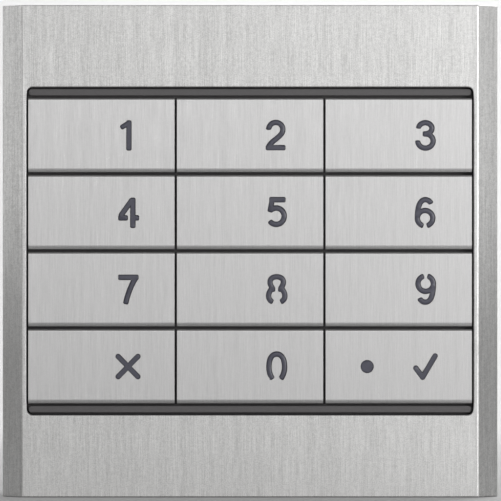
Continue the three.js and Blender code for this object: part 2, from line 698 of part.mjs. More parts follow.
// A spring clip: a flat foot in the housing's side, a leg that leans out, and a return that grips the frame.
function retainingClip() {
  const wall = BODY.width / 2 - CLIP.pocket + 0.15;
  const { sheet } = CLIP;
  const shoulder = wall + 2.2;
  const tip = wall + 0.9;
  const outline = [
    [wall, CLIP.end], [wall, CLIP.foot + 0.1], [shoulder, 13.7], [tip, 11.5],
    [tip + sheet, 11.3], [shoulder + sheet + 0.15, 13.6],
    [wall + sheet, CLIP.foot + 0.3], [wall + sheet, CLIP.end],
  ];
  return column(outline, CLIP.height);
}
const clip = retainingClip();
add("retaining_clip_right", clip, springSteel);
add("retaining_clip_left", clip.mirror([1, 0, 0]), springSteel);

// A pan-head screw with a cross recess, from the housing's back into the carrier's boss.
function housingScrew() {
  const { shank, head, headHeight, seat, tip } = SCREW;
  const start = seat + SLACK;
  const end = start + headHeight;
  const body = turned([
    [0, tip], [shank - 0.6, tip], [shank, tip + 0.6], [shank, start],
    [head, start], [head, end - 0.7], [head - 0.6, end], [0, end],
  ]);
  const slot = { length: 3.4, width: 0.8, front: end - 1.2 };
  return cut(
    body,
    block(0, 0, slot.length, slot.width, slot.front, BACK + 1),
    block(0, 0, slot.width, slot.length, slot.front, BACK + 1),
  );
}
const screw = housingScrew();
atCorners(SCREW_AT, (x, z) => ({ x, z })).forEach(({ x, z }, i) => {
  add(`housing_screw_${i + 1}`, screw, springSteel).position.set(x, 0, z);
});

export default part;
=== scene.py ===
# %% [markdown]
# # A keypad access reader
# This notebook dresses a keypad reader: a brushed steel front plate with twelve steel keys, dark light
# guides showing through stencil-cut numbers, and a plastic housing behind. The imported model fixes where
# everything is and how the keys travel, so every size here is read from it or worked out from it.
# The lengths are metres. The reader faces -Y and +Z is up.

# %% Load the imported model
import math

import bmesh
import bpy
import numpy as np
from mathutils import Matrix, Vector


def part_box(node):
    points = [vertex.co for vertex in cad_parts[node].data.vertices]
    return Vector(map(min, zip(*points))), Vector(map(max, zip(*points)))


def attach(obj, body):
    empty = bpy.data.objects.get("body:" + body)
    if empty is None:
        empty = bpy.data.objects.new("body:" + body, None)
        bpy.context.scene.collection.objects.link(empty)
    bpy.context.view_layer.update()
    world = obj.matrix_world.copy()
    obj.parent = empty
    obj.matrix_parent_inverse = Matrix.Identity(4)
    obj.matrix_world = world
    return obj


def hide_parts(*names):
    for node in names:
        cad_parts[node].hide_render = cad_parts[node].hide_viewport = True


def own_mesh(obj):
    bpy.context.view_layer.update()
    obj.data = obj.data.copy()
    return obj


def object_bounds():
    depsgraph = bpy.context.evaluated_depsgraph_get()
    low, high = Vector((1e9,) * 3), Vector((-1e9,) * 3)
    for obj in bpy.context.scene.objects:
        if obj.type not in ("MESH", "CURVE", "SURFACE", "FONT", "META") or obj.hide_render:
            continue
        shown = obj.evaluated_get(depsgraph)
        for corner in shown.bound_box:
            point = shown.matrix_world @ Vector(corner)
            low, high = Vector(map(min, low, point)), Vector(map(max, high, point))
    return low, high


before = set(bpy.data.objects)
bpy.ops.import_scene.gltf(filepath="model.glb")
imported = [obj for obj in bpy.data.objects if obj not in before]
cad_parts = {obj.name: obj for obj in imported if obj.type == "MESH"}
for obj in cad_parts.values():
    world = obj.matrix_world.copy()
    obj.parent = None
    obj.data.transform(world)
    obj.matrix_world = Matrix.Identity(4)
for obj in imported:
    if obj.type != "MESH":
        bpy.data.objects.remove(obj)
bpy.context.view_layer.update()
MM = 0.001
KEYS = ["1", "2", "3", "4", "5", "6", "7", "8", "9", "cancel", "0", "confirm"]


# %% [markdown]
# ## Where things are
# Each part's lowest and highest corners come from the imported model. A key's middle and the plate's front
# face are worked out from them once, so nothing below repeats a position.

# %% Places read from the model
def low_high(node):
    """The lowest and highest corners of a node, as numpy arrays."""
    low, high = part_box(node)
    return np.array(low), np.array(high)


PLATE_LOW, PLATE_HIGH = low_high("front_plate")
FRONT = PLATE_LOW[1]  # Y of the plate's front face
BACK = low_high("rear_housing")[1][1]  # Y of the housing's back face
KEY_MIDDLE = {key: sum(low_high(f"key_cap_{key}")) / 2 for key in KEYS}
KEY_SIZE = low_high("key_cap_5")[1] - low_high("key_cap_5")[0]
print("plate", (PLATE_HIGH - PLATE_LOW) / MM, "key", KEY_SIZE / MM)


# %% [markdown]
# ## The camera
# The reader is seen square on through a long lens, about a metre away, so its sides stay almost parallel.
# The camera comes first because every choice of detail depends on how large a millimetre is in the picture.

# %% Camera
CAMERA_DISTANCE = 1.0
CAMERA_X, CAMERA_Z = 0.08 * MM, 0.11 * MM  # how far the camera is from the reader's middle
PICTURE_WIDTH = 91.83 * MM  # how much the picture shows at the plate's face
SENSOR = 36.0

camera_data = bpy.data.cameras.new("camera")
camera_data.sensor_width = SENSOR
camera_data.lens = SENSOR * CAMERA_DISTANCE / PICTURE_WIDTH
camera_data.clip_start = 0.01
camera = bpy.data.objects.new("camera", camera_data)
camera.location = (CAMERA_X, FRONT - CAMERA_DISTANCE, CAMERA_Z)
camera.rotation_euler = (math.pi / 2, 0, 0)
bpy.context.scene.collection.objects.link(camera)
bpy.context.scene.camera = camera
bpy.context.scene.view_settings.view_transform = "Standard"
print("lens", round(camera_data.lens, 1), "mm")


# %% [markdown]
# ## Surfaces from arrays
# A surface is a grid of points, worked out as one numpy array of shape (rows, columns, 3). The faces join
# each point to its neighbours, so one short function turns any grid into a mesh. Rows or columns that
# close on themselves make tubes and rings, and points that coincide are merged, which closes the poles.

# %% Grids to meshes
def grid_faces(rows, columns, close_rows=False, close_columns=False):
    """The quads (r, c), (r, c+1), (r+1, c+1), (r+1, c) of a grid, wrapping round where it closes."""
    row_steps = np.arange(rows if close_rows else rows - 1)
    column_steps = np.arange(columns if close_columns else columns - 1)
    r, c = np.meshgrid(row_steps, column_steps, indexing="ij")
    r1, c1 = (r + 1) % rows, (c + 1) % columns
    corners = [r * columns + c, r * columns + c1, r1 * columns + c1, r1 * columns + c]
    return np.stack(corners, axis=-1).reshape(-1, 4)


def new_mesh(name, points, faces, merge=1e-7):
    """A mesh from points (n, 3) and faces, its doubles merged and its faces turned outwards."""
    mesh = bpy.data.meshes.new(name)
    mesh.from_pydata(points.reshape(-1, 3).tolist(), [], [list(map(int, face)) for face in faces])
    work = bmesh.new()
    work.from_mesh(mesh)
    bmesh.ops.remove_doubles(work, verts=work.verts, dist=merge)
    bmesh.ops.dissolve_degenerate(work, edges=work.edges, dist=merge)
    bmesh.ops.recalc_face_normals(work, faces=work.faces)
    closed = all(edge.is_manifold for edge in work.edges)
    if closed and work.calc_volume(signed=True) < 0:
        bmesh.ops.reverse_faces(work, faces=work.faces)
    work.to_mesh(mesh)
    work.free()
    return mesh


def joined(*parts):
    """Several (points, faces) pairs as one pair, each part's face numbers moved past the points before it."""
    counts = np.cumsum([0] + [len(points.reshape(-1, 3)) for points, _ in parts])
    points = np.concatenate([points.reshape(-1, 3) for points, _ in parts])
    faces = [list(np.asarray(face) + start) for (_, faces), start in zip(parts, counts) for face in faces]
    return points, faces


# %% [markdown]
# ## A piece on its body
# Every visible piece is an object that rides on a body of the model, takes a finish, and hides any model
# nodes it replaces. Its shading is smooth, and a small bevel rounds the edges that a tool would leave:
# a perfectly sharp edge never catches the light, which is what gives a computer picture away.

# %% Making pieces
def place(name, mesh, body, finish, replaces=()):
    """An object for the mesh, with its material, riding on a body and standing for the nodes it replaces."""
    piece = bpy.data.objects.new(name, mesh)
    bpy.context.scene.collection.objects.link(piece)
    mesh.materials.clear()
    mesh.materials.append(finish)
    mesh.polygons.foreach_set("use_smooth", np.ones(len(mesh.polygons), dtype=bool))
    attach(piece, body)
    if replaces:
        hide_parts(*replaces)
    return piece


def round_edges(piece, width, segments=2, angle=35):
    """Rounds every edge sharper than the angle, and shades each flat as flat right up to its rounding."""
    bevel = piece.modifiers.new("rounded edges", "BEVEL")
    bevel.width = width
    bevel.segments = segments
    bevel.limit_method = "ANGLE"
    bevel.angle_limit = math.radians(angle)
    weighted = piece.modifiers.new("flat faces stay flat", "WEIGHTED_NORMAL")
    weighted.mode = "FACE_AREA"
    return piece


def settle(piece):
    """Applies the piece's modifiers, so that the tools they point to can go. A failed cut leaves nothing."""
    seen = bpy.context.evaluated_depsgraph_get()
    seen.update()
    mesh = bpy.data.meshes.new_from_object(piece.evaluated_get(seen))
    if not mesh.polygons:
        raise ValueError(f"{piece.name} is empty after its cuts")
    piece.modifiers.clear()
    piece.data = mesh
    return piece


def cut_with(piece, *tool_meshes):
    """Takes each tool's solid out of the piece, one after another."""
    tools = []
    for mesh in tool_meshes:
        tool = bpy.data.objects.new("tool", mesh)
        bpy.context.scene.collection.objects.link(tool)
        boolean = piece.modifiers.new("cut", "BOOLEAN")
        boolean.operation = "DIFFERENCE"
        boolean.solver = "EXACT"
        boolean.object = tool
        tools.append(tool)
    settle(piece)
    for tool in tools:
        bpy.data.objects.remove(tool)
    return piece


# %% [markdown]
# ## Effects shared by the finishes
# Three effects appear on more than one material, so each is a node group: brushing, which is noise
# stretched along one direction, grain, which is even noise, and dust, which gathers towards the bottom.
# A group only puts out colours, values and heights. The shader that uses them stays in the material.

# %% Node group helpers
def node_group(name, inputs, outputs):
    """A new shader node group and its input and output nodes. Inputs are (name, kind, default)."""
    group = bpy.data.node_groups.new(name, "ShaderNodeTree")
    for label, kind, default in inputs:
        socket = group.interface.new_socket(label, in_out="INPUT", socket_type=f"NodeSocket{kind}")
        if default is not None:
            socket.default_value = default
    for label, kind in outputs:
        group.interface.new_socket(label, in_out="OUTPUT", socket_type=f"NodeSocket{kind}")
    return group, group.nodes.new("NodeGroupInput"), group.nodes.new("NodeGroupOutput")


def math_node(tree, operation, *values):
    """A Math node whose inputs are sockets or plain numbers; returns its output."""
    node = tree.nodes.new("ShaderNodeMath")
    node.operation = operation
    for socket, value in zip(node.inputs, values):
        if isinstance(value, (int, float)):
            socket.default_value = value
        else:
            tree.links.new(value, socket)
    return node.outputs[0]


def noise_node(tree, vector, scale, detail=3.0, roughness=0.55):
    """A Noise texture on a vector; returns its value, from about 0.3 to 0.7."""
    node = tree.nodes.new("ShaderNodeTexNoise")
    node.inputs["Scale"].default_value = scale
    node.inputs["Detail"].default_value = detail
    node.inputs["Roughness"].default_value = roughness
    tree.links.new(vector, node.inputs["Vector"])
    return node.outputs["Fac"]


def stretched(tree, vector, across, along):
    """The vector with X and Y multiplied by one value and Z by another."""
    split = tree.nodes.new("ShaderNodeSeparateXYZ")
    tree.links.new(vector, split.inputs[0])
    merge = tree.nodes.new("ShaderNodeCombineXYZ")
    for axis, factor in zip("XYZ", (across, across, along)):
        tree.links.new(math_node(tree, "MULTIPLY", split.outputs[axis], factor), merge.inputs[axis])
    return merge.outputs[0]


# %% Brushing: noise drawn out along Z
def build_brushing():
    """Shade = fine lines + broad bands, both noise whose Z is scaled down so that it runs vertically."""
    group, source, result = node_group(
        "brushing",
        [("Vector", "Vector", None), ("Lines per metre", "Float", 4000.0), ("Stretch", "Float", 0.02)],
        [("Shade", "Float")],
    )
    lines, stretch = source.outputs["Lines per metre"], source.outputs["Stretch"]
    along = math_node(group, "MULTIPLY", lines, stretch)
    fine = noise_node(group, stretched(group, source.outputs["Vector"], lines, along), 1.0)
    few = math_node(group, "MULTIPLY", lines, 0.16)
    few_along = math_node(group, "MULTIPLY", along, 0.1)
    bands = noise_node(group, stretched(group, source.outputs["Vector"], few, few_along), 1.0, 2.0)
    fine_part = math_node(group, "MULTIPLY", fine, 0.7)
    shade = math_node(group, "ADD", fine_part, math_node(group, "MULTIPLY", bands, 0.3))
    group.links.new(shade, result.inputs["Shade"])
    return group


# %% Grain: even noise at two sizes
def build_grain():
    """Shade = noise at the given size + half as much at three times that size."""
    group, source, result = node_group(
        "grain", [("Vector", "Vector", None), ("Grains per metre", "Float", 5000.0)], [("Shade", "Float")]
    )
    size = source.outputs["Grains per metre"]
    small = noise_node(group, stretched(group, source.outputs["Vector"], size, size), 1.0, 2.0)
    large = noise_node(group, stretched(group, source.outputs["Vector"], size, size), 0.3, 2.0)
    small_part = math_node(group, "MULTIPLY", small, 0.67)
    shade = math_node(group, "ADD", small_part, math_node(group, "MULTIPLY", large, 0.33))
    group.links.new(shade, result.inputs["Shade"])
    return group


# %% Dust: patchy noise, thicker towards the bottom of the reader
def build_dust():
    """Amount = noise above a threshold, times a ramp that rises from the reader's top to its bottom."""
    group, source, result = node_group(
        "dust", [("Vector", "Vector", None), ("Strength", "Float", 0.2)], [("Amount", "Float")]
    )
    split = group.nodes.new("ShaderNodeSeparateXYZ")
    group.links.new(source.outputs["Vector"], split.inputs[0])
    ramp = group.nodes.new("ShaderNodeMapRange")
    ramp.inputs["From Min"].default_value = float(PLATE_HIGH[2])
    ramp.inputs["From Max"].default_value = float(PLATE_LOW[2])
    ramp.inputs["To Min"].default_value = 0.35
    group.links.new(split.outputs["Z"], ramp.inputs["Value"])
    patches = noise_node(group, source.outputs["Vector"], 160.0, 6.0, 0.65)
    lifted = math_node(group, "MAXIMUM", math_node(group, "SUBTRACT", patches, 0.45), 0.0)
    amount = math_node(group, "MULTIPLY", lifted, math_node(group, "MULTIPLY", ramp.outputs[0], 4.0))
    group.links.new(math_node(group, "MULTIPLY", amount, source.outputs["Strength"]), result.inputs["Amount"])
    return group


BRUSHING, GRAIN, DUST = build_brushing(), build_grain(), build_dust()
print("node groups:", [group.name for group in (BRUSHING, GRAIN, DUST)])


# %% [markdown]
# ## The finishes
# A finish is a Principled shader whose colour, roughness and bump all come from the same noise, because on
# the real thing one scratch changes all three. `shaded` mixes a colour darker and lighter by that noise.

# %% Material helpers
SHADE_LOW, SHADE_HIGH = 0.3, 0.7  # where nearly all of a noise's values lie


class Finish:
    """A material being built: its tree, its shader, and the Object coordinates that patterns read."""

    def __init__(self, name, metallic, roughness):
        self.material = bpy.data.materials.new(name)
        self.material.use_nodes = True
        self.tree = self.material.node_tree
        self.shader = self.tree.nodes["Principled BSDF"]
        self.shader.inputs["Metallic"].default_value = metallic
        self.shader.inputs["Roughness"].default_value = roughness
        self.vector = self.tree.nodes.new("ShaderNodeTexCoord").outputs["Object"]

    def effect(self, group, output, **values):
        """One output of a node group placed in this material with its own values."""
        node = self.tree.nodes.new("ShaderNodeGroup")
        node.node_tree = group
        self.tree.links.new(self.vector, node.inputs["Vector"])
        for label, value in values.items():
            node.inputs[label.replace("_", " ")].default_value = value
        return node.outputs[output]

    def shaded(self, color, shade, contrast):
        """Base Color = color darkened and lightened by contrast as the shade goes from low to high."""
        ramp = self.tree.nodes.new("ShaderNodeValToRGB")
        ramp.color_ramp.elements[0].position = SHADE_LOW
        ramp.color_ramp.elements[1].position = SHADE_HIGH
        for element, factor in zip(ramp.color_ramp.elements, (1 - contrast, 1 + contrast)):
            element.color = [min(channel * factor, 1.0) for channel in color] + [1.0]
        self.tree.links.new(shade, ramp.inputs[0])
        self.tree.links.new(ramp.outputs[0], self.shader.inputs["Base Color"])

    def roughened(self, shade, low, high):
        """Roughness goes from low to high as the shade does."""
        scale = self.tree.nodes.new("ShaderNodeMapRange")
        scale.inputs["From Min"].default_value = SHADE_LOW
        scale.inputs["From Max"].default_value = SHADE_HIGH
        scale.inputs["To Min"].default_value, scale.inputs["To Max"].default_value = low, high
        self.tree.links.new(shade, scale.inputs["Value"])
        self.tree.links.new(scale.outputs[0], self.shader.inputs["Roughness"])

    def bumped(self, height, strength, distance):
        """Normal = a bump of the given depth."""
        bump = self.tree.nodes.new("ShaderNodeBump")
        bump.inputs["Strength"].default_value = strength
        bump.inputs["Distance"].default_value = distance
        self.tree.links.new(height, bump.inputs["Height"])
        self.tree.links.new(bump.outputs[0], self.shader.inputs["Normal"])


def added(finish, first, second, weight):
    """first + weight * (second - 0.5), so that a second pattern varies the first one about its middle."""
    centred = math_node(finish.tree, "SUBTRACT", second, 0.5)
    return math_node(finish.tree, "ADD", first, math_node(finish.tree, "MULTIPLY", centred, weight))


# %% [markdown]
# ### Brushed steel
# The plate is brushed up and down over a fine blasted surface, so its lines are broken by speckle. The keys
# have a finer, cleaner brushing. Both are fully metallic: all that the eye sees is the studio reflected in
# them, spread by their roughness.

# %% Brushed steel
def brushed_steel(name, color, lines, speckle, roughness, contrast):
    """Metal whose colour, roughness and bump follow vertical brush lines, with some speckle added."""
    steel = Finish(name, 1.0, roughness)
    brushing = steel.effect(BRUSHING, "Shade", Lines_per_metre=lines, Stretch=0.03)
    grain = steel.effect(GRAIN, "Shade", Grains_per_metre=5200.0)
    shade = added(steel, brushing, grain, speckle)
    steel.shaded(color, shade, contrast)
    steel.roughened(shade, roughness + 0.05, roughness - 0.05)
    steel.bumped(shade, 0.12, 0.02 * MM)
    return steel.material


PLATE_STEEL = brushed_steel("brushed plate", (0.66, 0.657, 0.648), 6200.0, 1.1, 0.4, 0.2)
KEY_STEEL = brushed_steel("brushed keys", (0.64, 0.635, 0.633), 7000.0, 0.5, 0.32, 0.1)
SPRING_STEEL = brushed_steel("spring steel", (0.5, 0.5, 0.51), 9000.0, 0.3, 0.28, 0.08)


# %% [markdown]
# ### Plastics, rubber and the board
# Moulded plastic is one colour with a fine eroded texture, which shows as a broken sheen rather than as a
# pattern. The light guides are smoked clear polycarbonate over a dark cavity: unlit, they look like dark
# bluish glass. They are modelled as a dark gloss plastic, which is what is seen from outside.

# %% Moulded finishes
def moulded(name, color, roughness, grains=6000.0, contrast=0.1, depth=0.012, dust=0.15):
    """Plastic with a fine even texture and a little dust, which lightens and dulls it."""
    plastic = Finish(name, 0.0, roughness)
    grain = plastic.effect(GRAIN, "Shade", Grains_per_metre=grains)
    dusty = plastic.effect(DUST, "Amount", Strength=dust)
    shade = math_node(plastic.tree, "ADD", grain, dusty)
    plastic.shaded(color, shade, contrast)
    plastic.roughened(shade, roughness - 0.06, roughness + 0.08)
    plastic.bumped(grain, 0.25, depth * MM)
    return plastic.material


SMOKED = moulded("smoked clear", (0.085, 0.085, 0.115), 0.32, 2500.0, 0.05, 0.004, 0.05)
CARRIER_GREY = moulded("carrier grey", (0.115, 0.11, 0.112), 0.5)
HOUSING_BLACK = moulded("housing black", (0.022, 0.023, 0.025), 0.55, 4200.0, 0.15, 0.03)
RUBBER = moulded("black rubber", (0.012, 0.012, 0.013), 0.8, 3000.0, 0.2)
SILICONE = moulded("silicone", (0.55, 0.57, 0.54), 0.6, 2500.0, 0.05)
SOCKET_CREAM = moulded("socket nylon", (0.7, 0.68, 0.6), 0.45, 3500.0, 0.05)
TERMINAL_GREEN = moulded("terminal green", (0.045, 0.3, 0.12), 0.42, 3500.0, 0.08)
LEVER_ORANGE = moulded("lever orange", (0.75, 0.22, 0.03), 0.4, 3500.0, 0.08)
CHIP_BLACK = moulded("chip black", (0.018, 0.018, 0.02), 0.5, 5000.0, 0.2)
RELAY_WHITE = moulded("relay case", (0.7, 0.7, 0.67), 0.35, 3000.0, 0.04)
BOARD_GREEN = moulded("board green", (0.02, 0.12, 0.05), 0.4, 1800.0, 0.15)
LED_LENS = moulded("led lens", (0.85, 0.83, 0.68), 0.25, 2500.0, 0.05)
LABEL_FOIL = moulded("label foil", (0.62, 0.63, 0.64), 0.35, 3000.0, 0.06)


def plain_metal(name, color, roughness):
    """A drawn or plated metal with faint cloudiness."""
    metal = Finish(name, 1.0, roughness)
    cloud = metal.effect(GRAIN, "Shade", Grains_per_metre=900.0)
    metal.shaded(color, cloud, 0.08)
    metal.roughened(cloud, roughness - 0.04, roughness + 0.06)
    metal.bumped(cloud, 0.08, 0.01 * MM)
    return metal.material


GOLD = plain_metal("gold plating", (0.95, 0.7, 0.3), 0.25)
TIN = plain_metal("tinned metal", (0.72, 0.72, 0.7), 0.3)
CAN = plain_metal("drawn can", (0.62, 0.62, 0.64), 0.32)
print("finishes:", len(bpy.data.materials))


# %% [markdown]
# ## The front plate
# The plate is one folded and machined shell: a flat front with a window, two 45 degree bevels and plain
# sides. Its surface is a ring of loops around the window. The loops run from the window's front edge out
# over the front, the bevels and the sides, round the rear rim, and back inside to the window's rear edge.
# Every loop has the same number of points, four groups for the four corners, so the grid closes on itself.

# %% Front plate
WINDOW_HALF = np.array([40.95, 30.05]) * MM
WINDOW_CORNER = 1.1 * MM
BEVEL = 3.65 * MM
WALL = 1.5 * MM
FRONT_WALL = 1.8 * MM
CORNER_STEPS = 10


def corner_angles(steps):
    """Angles and corner signs of a rounded rectangle: four quarter circles, one after another."""
    quarter = np.arange(4)[:, None]
    angles = (quarter + np.linspace(0, 1, steps)[None, :]) * math.pi / 2
    signs_x = np.broadcast_to(np.array([1, -1, -1, 1])[:, None], angles.shape)
    signs_z = np.broadcast_to(np.array([1, 1, -1, -1])[:, None], angles.shape)
    return angles.ravel(), signs_x.ravel(), signs_z.ravel()


def rounded_rectangle(half_x, half_z, radius, steps=CORNER_STEPS):
    """Points (x, z): each corner's centre plus radius times (cos, sin) of its quarter circle's angles."""
    angles, sign_x, sign_z = corner_angles(steps)
    x = sign_x * (half_x - radius) + radius * np.cos(angles)
    z = sign_z * (half_z - radius) + radius * np.sin(angles)
    return np.stack([x, z], axis=-1)


def front_plate_mesh():
    half_x, half_z = PLATE_HIGH[0], PLATE_HIGH[2]
    angles, sign_x, sign_z = corner_angles(CORNER_STEPS)
    beside = np.abs(np.cos(angles)) > np.abs(np.sin(angles))  # points of a side, not of the top or bottom

    def loop(side_x, end_x, z, side_depth, end_depth):
        """A rectangle's corners, where side points and end points may differ in X and in depth."""
        x = sign_x * np.where(beside, side_x, end_x)
        depth = np.where(beside, side_depth, end_depth) * np.ones(len(x))
        return np.stack([x, FRONT + depth, sign_z * z], axis=-1)

    def window(depth):
        outline = rounded_rectangle(*WINDOW_HALF, WINDOW_CORNER)
        return np.stack([outline[:, 0], np.full(len(outline), FRONT + depth), outline[:, 1]], axis=-1)

    rim = PLATE_HIGH[1] - FRONT
    flat = half_x - BEVEL
    in_x, in_z = half_x - WALL, half_z - WALL
    in_bevel = BEVEL + WALL * math.tan(math.pi / 8)
    in_flat = in_x - (in_bevel - FRONT_WALL)
    loops = [
        window(0),
        loop(flat, flat, half_z, 0, 0),
        loop(half_x, flat, half_z, BEVEL, 0),
        loop(half_x, flat, half_z, rim, rim),
        loop(in_x, in_flat, in_z, rim, rim),
        loop(in_x, in_flat, in_z, in_bevel, FRONT_WALL),
        loop(in_flat, in_flat, in_z, FRONT_WALL, FRONT_WALL),
        window(FRONT_WALL),
    ]
    points = np.stack(loops)
    return new_mesh("front_plate_shell", points, grid_faces(*points.shape[:2], True, True))


plate = place("front_plate_shell", front_plate_mesh(), "root", PLATE_STEEL, ["front_plate"])
round_edges(plate, 0.2 * MM, 3)
print("front plate:", len(plate.data.polygons), "faces before rounding")


# %% [markdown]
# ## Legends as strokes
# A stencil-cut number is drawn the way a sign cutter draws it: a centre line of constant width. Each centre
# line is an array of points, from straight runs, ellipse arcs and cubic curves. Loops such as the 8 stay
# open at a bridge, or the metal inside them would fall out.

# %% Centre lines (millimetres, about the middle of the legend)
def straight(*points):
    return np.array(points, dtype=float)


def arc(x, z, radius_x, radius_z, start, end, steps=28):
    """Points on an ellipse, (x + rx cos t, z + rz sin t), for t from start to end degrees."""
    t = np.radians(np.linspace(start, end, steps))
    return np.stack([x + radius_x * np.cos(t), z + radius_z * np.sin(t)], axis=-1)


def cubic(start, *pieces, steps=14):
    """Cubic curves end to end: (1-t)^3 a + 3(1-t)^2 t b + 3(1-t) t^2 c + t^3 d for each piece's b, c, d."""
    t = np.linspace(0, 1, steps)[:, None]
    points, a = [np.array([start], dtype=float)], np.array(start, dtype=float)
    for b, c, d in np.array(pieces, dtype=float):
        run = (1 - t) ** 3 * a + 3 * (1 - t) ** 2 * t * b + 3 * (1 - t) * t**2 * c + t**3 * d
        points.append(run[1:])
        a = d
    return np.concatenate(points)


def mirrored(points):
    return points * [-1, 1]


def both_halves(right):
    """A line given by its right half from the top down, joined to its mirror image."""
    return np.concatenate([mirrored(right)[:0:-1], right])


SIX_BACK = cubic(
    (1.08, 1.54), [(0.84, 2.07), (0.48, 2.33), (0.02, 2.33)], [(-1.06, 2.33), (-1.465, 0.9), (-1.465, -1.06)]
)
SIX = [
    np.concatenate([SIX_BACK, arc(-0.055, -1.06, 1.41, 1.41, 180, 258)[1:]]),
    arc(-0.055, -1.06, 1.41, 1.41, 160, -78),
]
EIGHT_FOOT = cubic(
    (0.72, 0.42), [(0.98, 0.02), (1.49, -0.42), (1.49, -1.19)], [(1.49, -1.74), (1.2, -2.07), (0.67, -2.33)]
)
EIGHT_HEAD = cubic(
    (0, 2.33), [(0.74, 2.33), (1.22, 1.96), (1.22, 1.34)], [(1.22, 0.86), (0.95, 0.52), (0.74, 0.16)]
)
EIGHT_WAIST = straight((0.7, 0.5), (0.7, -0.45))
ZERO = cubic((0, 2.29), [(0.92, 2.29), (1.43, 1.34), (1.43, 0)], [(1.43, -0.95), (1.2, -1.69), (0.7, -2.29)])
LEGENDS = {
    "1": [straight((0.16, 2.75), (0.16, -2.8)), straight((0.18, 2.3), (-1.36, 1.33))],
    "2": [
        np.concatenate([
            arc(-0.17, 1.06, 1.3, 1.3, 184, 0),
            cubic((1.13, 1.06), [(1.13, -0.37), (-1.25, -0.92), (-1.56, -2.38)])[1:],
        ]),
        straight((-2.02, -2.26), (1.63, -2.26)),
    ],
    "3": [
        arc(-0.01, 1.28, 1.22, 1.03, 184, -95),
        arc(0.02, -1.05, 1.41, 1.3, 95, -186),
        straight((-0.5, 0.26), (0.37, 0.26)),
    ],
    "4": [
        straight((0.88, 2.71), (0.88, -2.88)),
        straight((0.77, 2.33), (-1.45, -0.77)),
        straight((-1.83, -1.01), (-0.02, -1.01)),
        straight((0.88, -1.01), (2.05, -1.01)),
    ],
    "5": [
        straight((-1.39, 2.33), (1.63, 2.33)),
        straight((-0.79, 2.6), (-1.24, 0.05)),
        arc(-0.09, -0.7, 1.46, 1.51, 146, -147),
    ],
    "6": SIX,
    "7": [
        straight((-1.83, 2.22), (1.94, 2.22)),
        cubic((1.47, 2.22), [(0.68, 1.01), (-0.04, -0.64), (-0.46, -2.7)]),
    ],
    "8": [both_halves(EIGHT_HEAD), EIGHT_WAIST, mirrored(EIGHT_WAIST), EIGHT_FOOT, mirrored(EIGHT_FOOT)],
    "9": [-stroke for stroke in SIX],
    "0": [both_halves(ZERO)],
    "cancel": [straight((-1.81, 1.85), (1.81, -1.85)), straight((-1.81, -1.85), (1.81, 1.85))],
    "confirm": [straight((-1.74, -0.28), (-0.5, -1.96)), straight((-0.5, -1.96), (1.78, 1.94))],
}
ROUND_ENDED = {"cancel", "confirm"}
LEGEND_X, LEGEND_Z = 4.88, -0.02  # a legend's middle, from its key's middle
STROKE = 1.0
STROKE_CORNER, JOINED_CORNER = 0.3, 0.02  # corner radii of a stroke's free ends and of its joined ends
NARROW = {("1", 1): 0.9, ("8", 1): 0.88, ("8", 2): 0.88}  # strokes cut with a narrower tool
JOINED = {  # ends that run into another stroke, by key and stroke number: they stay square and full length
    ("1", 1): "start", ("2", 0): "end", ("3", 0): "end", ("3", 1): "start", ("3", 2): "end",
    ("4", 1): "start", ("4", 3): "start", ("5", 1): "start", ("6", 1): "start", ("7", 1): "start",
    ("8", 0): "start end", ("8", 3): "start", ("8", 4): "start", ("9", 1): "start",
}
STATUS_X = -5.78
STATUS_RADIUS = 1.21


# %% [markdown]
# A stroke becomes an outline by moving its centre line half a width to each side. The ends are square with
# slightly softened corners, or full half circles on the cross and the tick, as a milling cutter leaves.

# %% Strokes to solids
def stroke_outline(line, half, start_corner, end_corner):
    """The line moved by +half and -half along its normals, with quarter circles at its ends' corners."""
    along = np.gradient(line, axis=0)
    along /= np.linalg.norm(along, axis=1, keepdims=True)
    across = np.stack([-along[:, 1], along[:, 0]], axis=-1)
    turn = np.linspace(0, math.pi / 2, 7)[:, None]

    def end(point, outward, side, corner):
        """Two quarter circles from the +side edge round to the -side edge, ending at the line's end."""
        centre = point - outward * corner
        first = centre + side * (half - corner) + corner * (np.cos(turn) * side + np.sin(turn) * outward)
        second = centre - side * (half - corner) + corner * (np.sin(turn) * outward - np.cos(turn) * side)
        return np.concatenate([first, second[::-1]])

    run = np.concatenate([[0], np.cumsum(np.linalg.norm(np.diff(line, axis=0), axis=1))])
    inside = (run > start_corner) & (run < run[-1] - end_corner)  # points clear of the rounded ends
    left = (line + across * half)[inside]
    right = (line - across * half)[inside]
    head = end(line[-1], along[-1], across[-1], end_corner)
    tail = end(line[0], -along[0], -across[0], start_corner)
    return np.concatenate([tail, left, head, right[::-1]])


def outline_prism(outline, front, rear):
    """A closed prism over an outline (x, z): one ring of quads between two flat ends."""
    count = len(outline)
    rings = [np.stack([outline[:, 0], np.full(count, y), outline[:, 1]], axis=-1) for y in (front, rear)]
    faces = grid_faces(2, count, False, True).tolist()
    return np.concatenate(rings), faces + [list(range(count)), list(range(2 * count - 1, count - 1, -1))]


